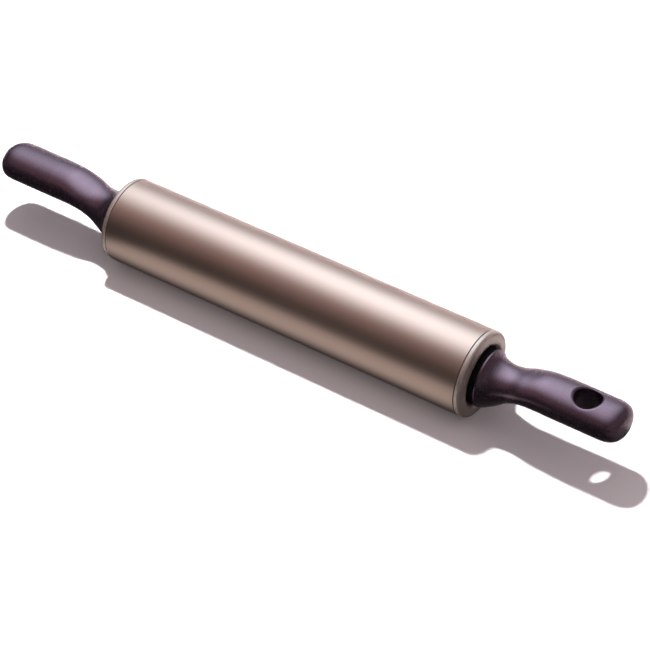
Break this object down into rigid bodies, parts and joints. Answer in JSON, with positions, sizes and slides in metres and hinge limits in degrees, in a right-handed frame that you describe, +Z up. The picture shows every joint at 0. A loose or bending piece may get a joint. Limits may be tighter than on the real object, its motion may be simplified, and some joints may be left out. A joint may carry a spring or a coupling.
{
  "type": "rolling pin",
  "caption": "Rolling pin: a champagne coated steel barrel with end rings turns on ball bearings about an axle that joins raised aubergine grips, one with a hanging hole.",
  "frame": {"origin": "the centre of the barrel, on the axle's axis", "axes": "+X along the axle towards the grip with the hanging hole, +Z up, the way both grips rise"},
  "size_m": [0.5276, 0.0634, 0.0634],
  "materials": {
    "barrel_coat": "satin champagne non-stick coat on a steel tube",
    "ring_paint": "moulded, satin champagne paint",
    "grip_rubber": "soft satin aubergine",
    "black_nylon": "moulded black, matt",
    "bearing_steel": "ground bright steel",
    "spring_steel": "dark oiled spring steel",
    "seal_rubber": "thin black rubber"
  },
  "bodies": {
    "handles": {"axle": "bearing_steel", "axle_clip_right": "spring_steel", "axle_clip_left": "spring_steel", "inner_race_right": "bearing_steel", "inner_race_left": "bearing_steel", "spacer_sleeve_right": "bearing_steel", "spacer_sleeve_left": "bearing_steel", "dust_collar_right": "black_nylon", "dust_collar_left": "black_nylon", "handle_core_right": "black_nylon", "handle_core_left": "black_nylon", "handle_pin_right": "spring_steel", "handle_pin_left": "spring_steel", "grip_right": "grip_rubber", "grip_left": "grip_rubber"},
    "barrel": {"barrel_tube": "barrel_coat", "end_ring_right": "ring_paint", "end_ring_left": "ring_paint", "bearing_carrier_right": "black_nylon", "bearing_carrier_left": "black_nylon", "outer_race_right": "bearing_steel", "outer_race_left": "bearing_steel", "bearing_clip_right": "spring_steel", "bearing_clip_left": "spring_steel", "bearing_seal_inside_right": "seal_rubber", "bearing_seal_outside_right": "seal_rubber", "bearing_seal_inside_left": "seal_rubber", "bearing_seal_outside_left": "seal_rubber"},
    "balls_right": {"ball_cage_right": "black_nylon", "ball_1_right": "bearing_steel", "ball_2_right": "bearing_steel", "ball_3_right": "bearing_steel", "ball_4_right": "bearing_steel", "ball_5_right": "bearing_steel", "ball_6_right": "bearing_steel", "ball_7_right": "bearing_steel"},
    "balls_left": {"ball_cage_left": "black_nylon", "ball_1_left": "bearing_steel", "ball_2_left": "bearing_steel", "ball_3_left": "bearing_steel", "ball_4_left": "bearing_steel", "ball_5_left": "bearing_steel", "ball_6_left": "bearing_steel", "ball_7_left": "bearing_steel"}
  },
  "joints": [
    {"name": "barrel_roll", "type": "hinge", "parent": "handles", "child": "barrel", "pos_m": [0, 0, 0], "axis": [1, 0, 0], "continuous": true},
    {"name": "balls_right_orbit", "type": "hinge", "parent": "handles", "child": "balls_right", "pos_m": [0.1419, 0, 0], "axis": [1, 0, 0], "continuous": true},
    {"name": "balls_left_orbit", "type": "hinge", "parent": "handles", "child": "balls_left", "pos_m": [-0.1419, 0, 0], "axis": [1, 0, 0], "continuous": true}
  ],
  "couplings": [
    {"joint": "balls_right_orbit", "follows": "barrel_roll", "ratio": 0.6323},
    {"joint": "balls_left_orbit", "follows": "barrel_roll", "ratio": 0.6323}
  ]
}
